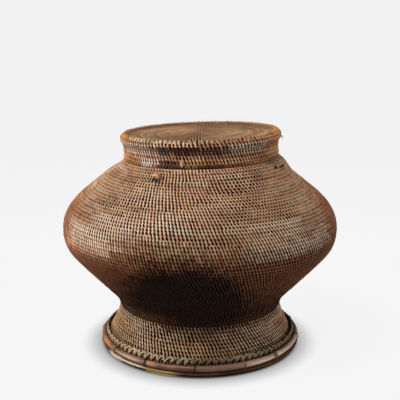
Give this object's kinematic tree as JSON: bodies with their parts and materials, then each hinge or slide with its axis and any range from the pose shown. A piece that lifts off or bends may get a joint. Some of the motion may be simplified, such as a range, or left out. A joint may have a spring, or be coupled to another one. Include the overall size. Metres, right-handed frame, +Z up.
{
  "type": "lidded basket",
  "caption": "Round coiled cane basket with a wide bowl, a flaring foot bound by a cane hoop, and a flat cap lid that lifts off a hidden neck.",
  "frame": {"origin": "centre of the foot on the floor, under the middle of the bowl", "axes": "+Z up along the basket's axis; -Y towards the front of the picture, +X to its right"},
  "size_m": [0.33, 0.33, 0.2647],
  "materials": {
    "bowl_cane": "worn split cane, satin, darker below the belly",
    "foot_cane": "worn split cane, satin",
    "lid_cane": "worn split cane, satin",
    "lid_edge_cane": "dark stained split cane, satin",
    "lid_bead_cane": "pale golden split cane wrapping, satin",
    "border_cane": "grey weathered split cane, dry",
    "hoop_cane": "reddish brown whole cane, semi-gloss",
    "pale_strip": "pale yellow split cane, satin",
    "brown_strip": "brown split cane, satin",
    "lashing_cane": "golden split cane lashing, satin",
    "tie_cane": "light split cane, dry"
  },
  "bodies": {
    "basket": {"bowl_wall": "bowl_cane", "mouth_rim": "bowl_cane", "foot_wall": "foot_cane", "foot_border": "border_cane", "foot_seam": "foot_cane", "foot_hoop": "hoop_cane", "foot_strip_upper": "brown_strip", "foot_strip_lower": "pale_strip", "hoop_lashing_01": "lashing_cane", "hoop_lashing_02": "lashing_cane", "hoop_lashing_03": "lashing_cane", "hoop_lashing_04": "lashing_cane", "hoop_lashing_05": "lashing_cane", "hoop_lashing_06": "lashing_cane", "hoop_lashing_07": "lashing_cane", "hoop_lashing_08": "lashing_cane", "hoop_lashing_09": "lashing_cane", "hoop_lashing_10": "lashing_cane", "hoop_lashing_11": "lashing_cane", "hoop_lashing_12": "lashing_cane", "hoop_lashing_13": "lashing_cane", "tie_stub_left": "tie_cane", "tie_stub_right": "tie_cane"},
    "lid": {"lid_top": "lid_cane", "lid_bead": "lid_bead_cane", "lid_skirt": "lid_cane", "lid_edge_coil": "lid_edge_cane"}
  },
  "joints": [
    {"name": "lid_lift", "type": "slide", "parent": "basket", "child": "lid", "axis": [-0.0297, 0, 0.9996], "range_m": [0, 0.09]}
  ]
}
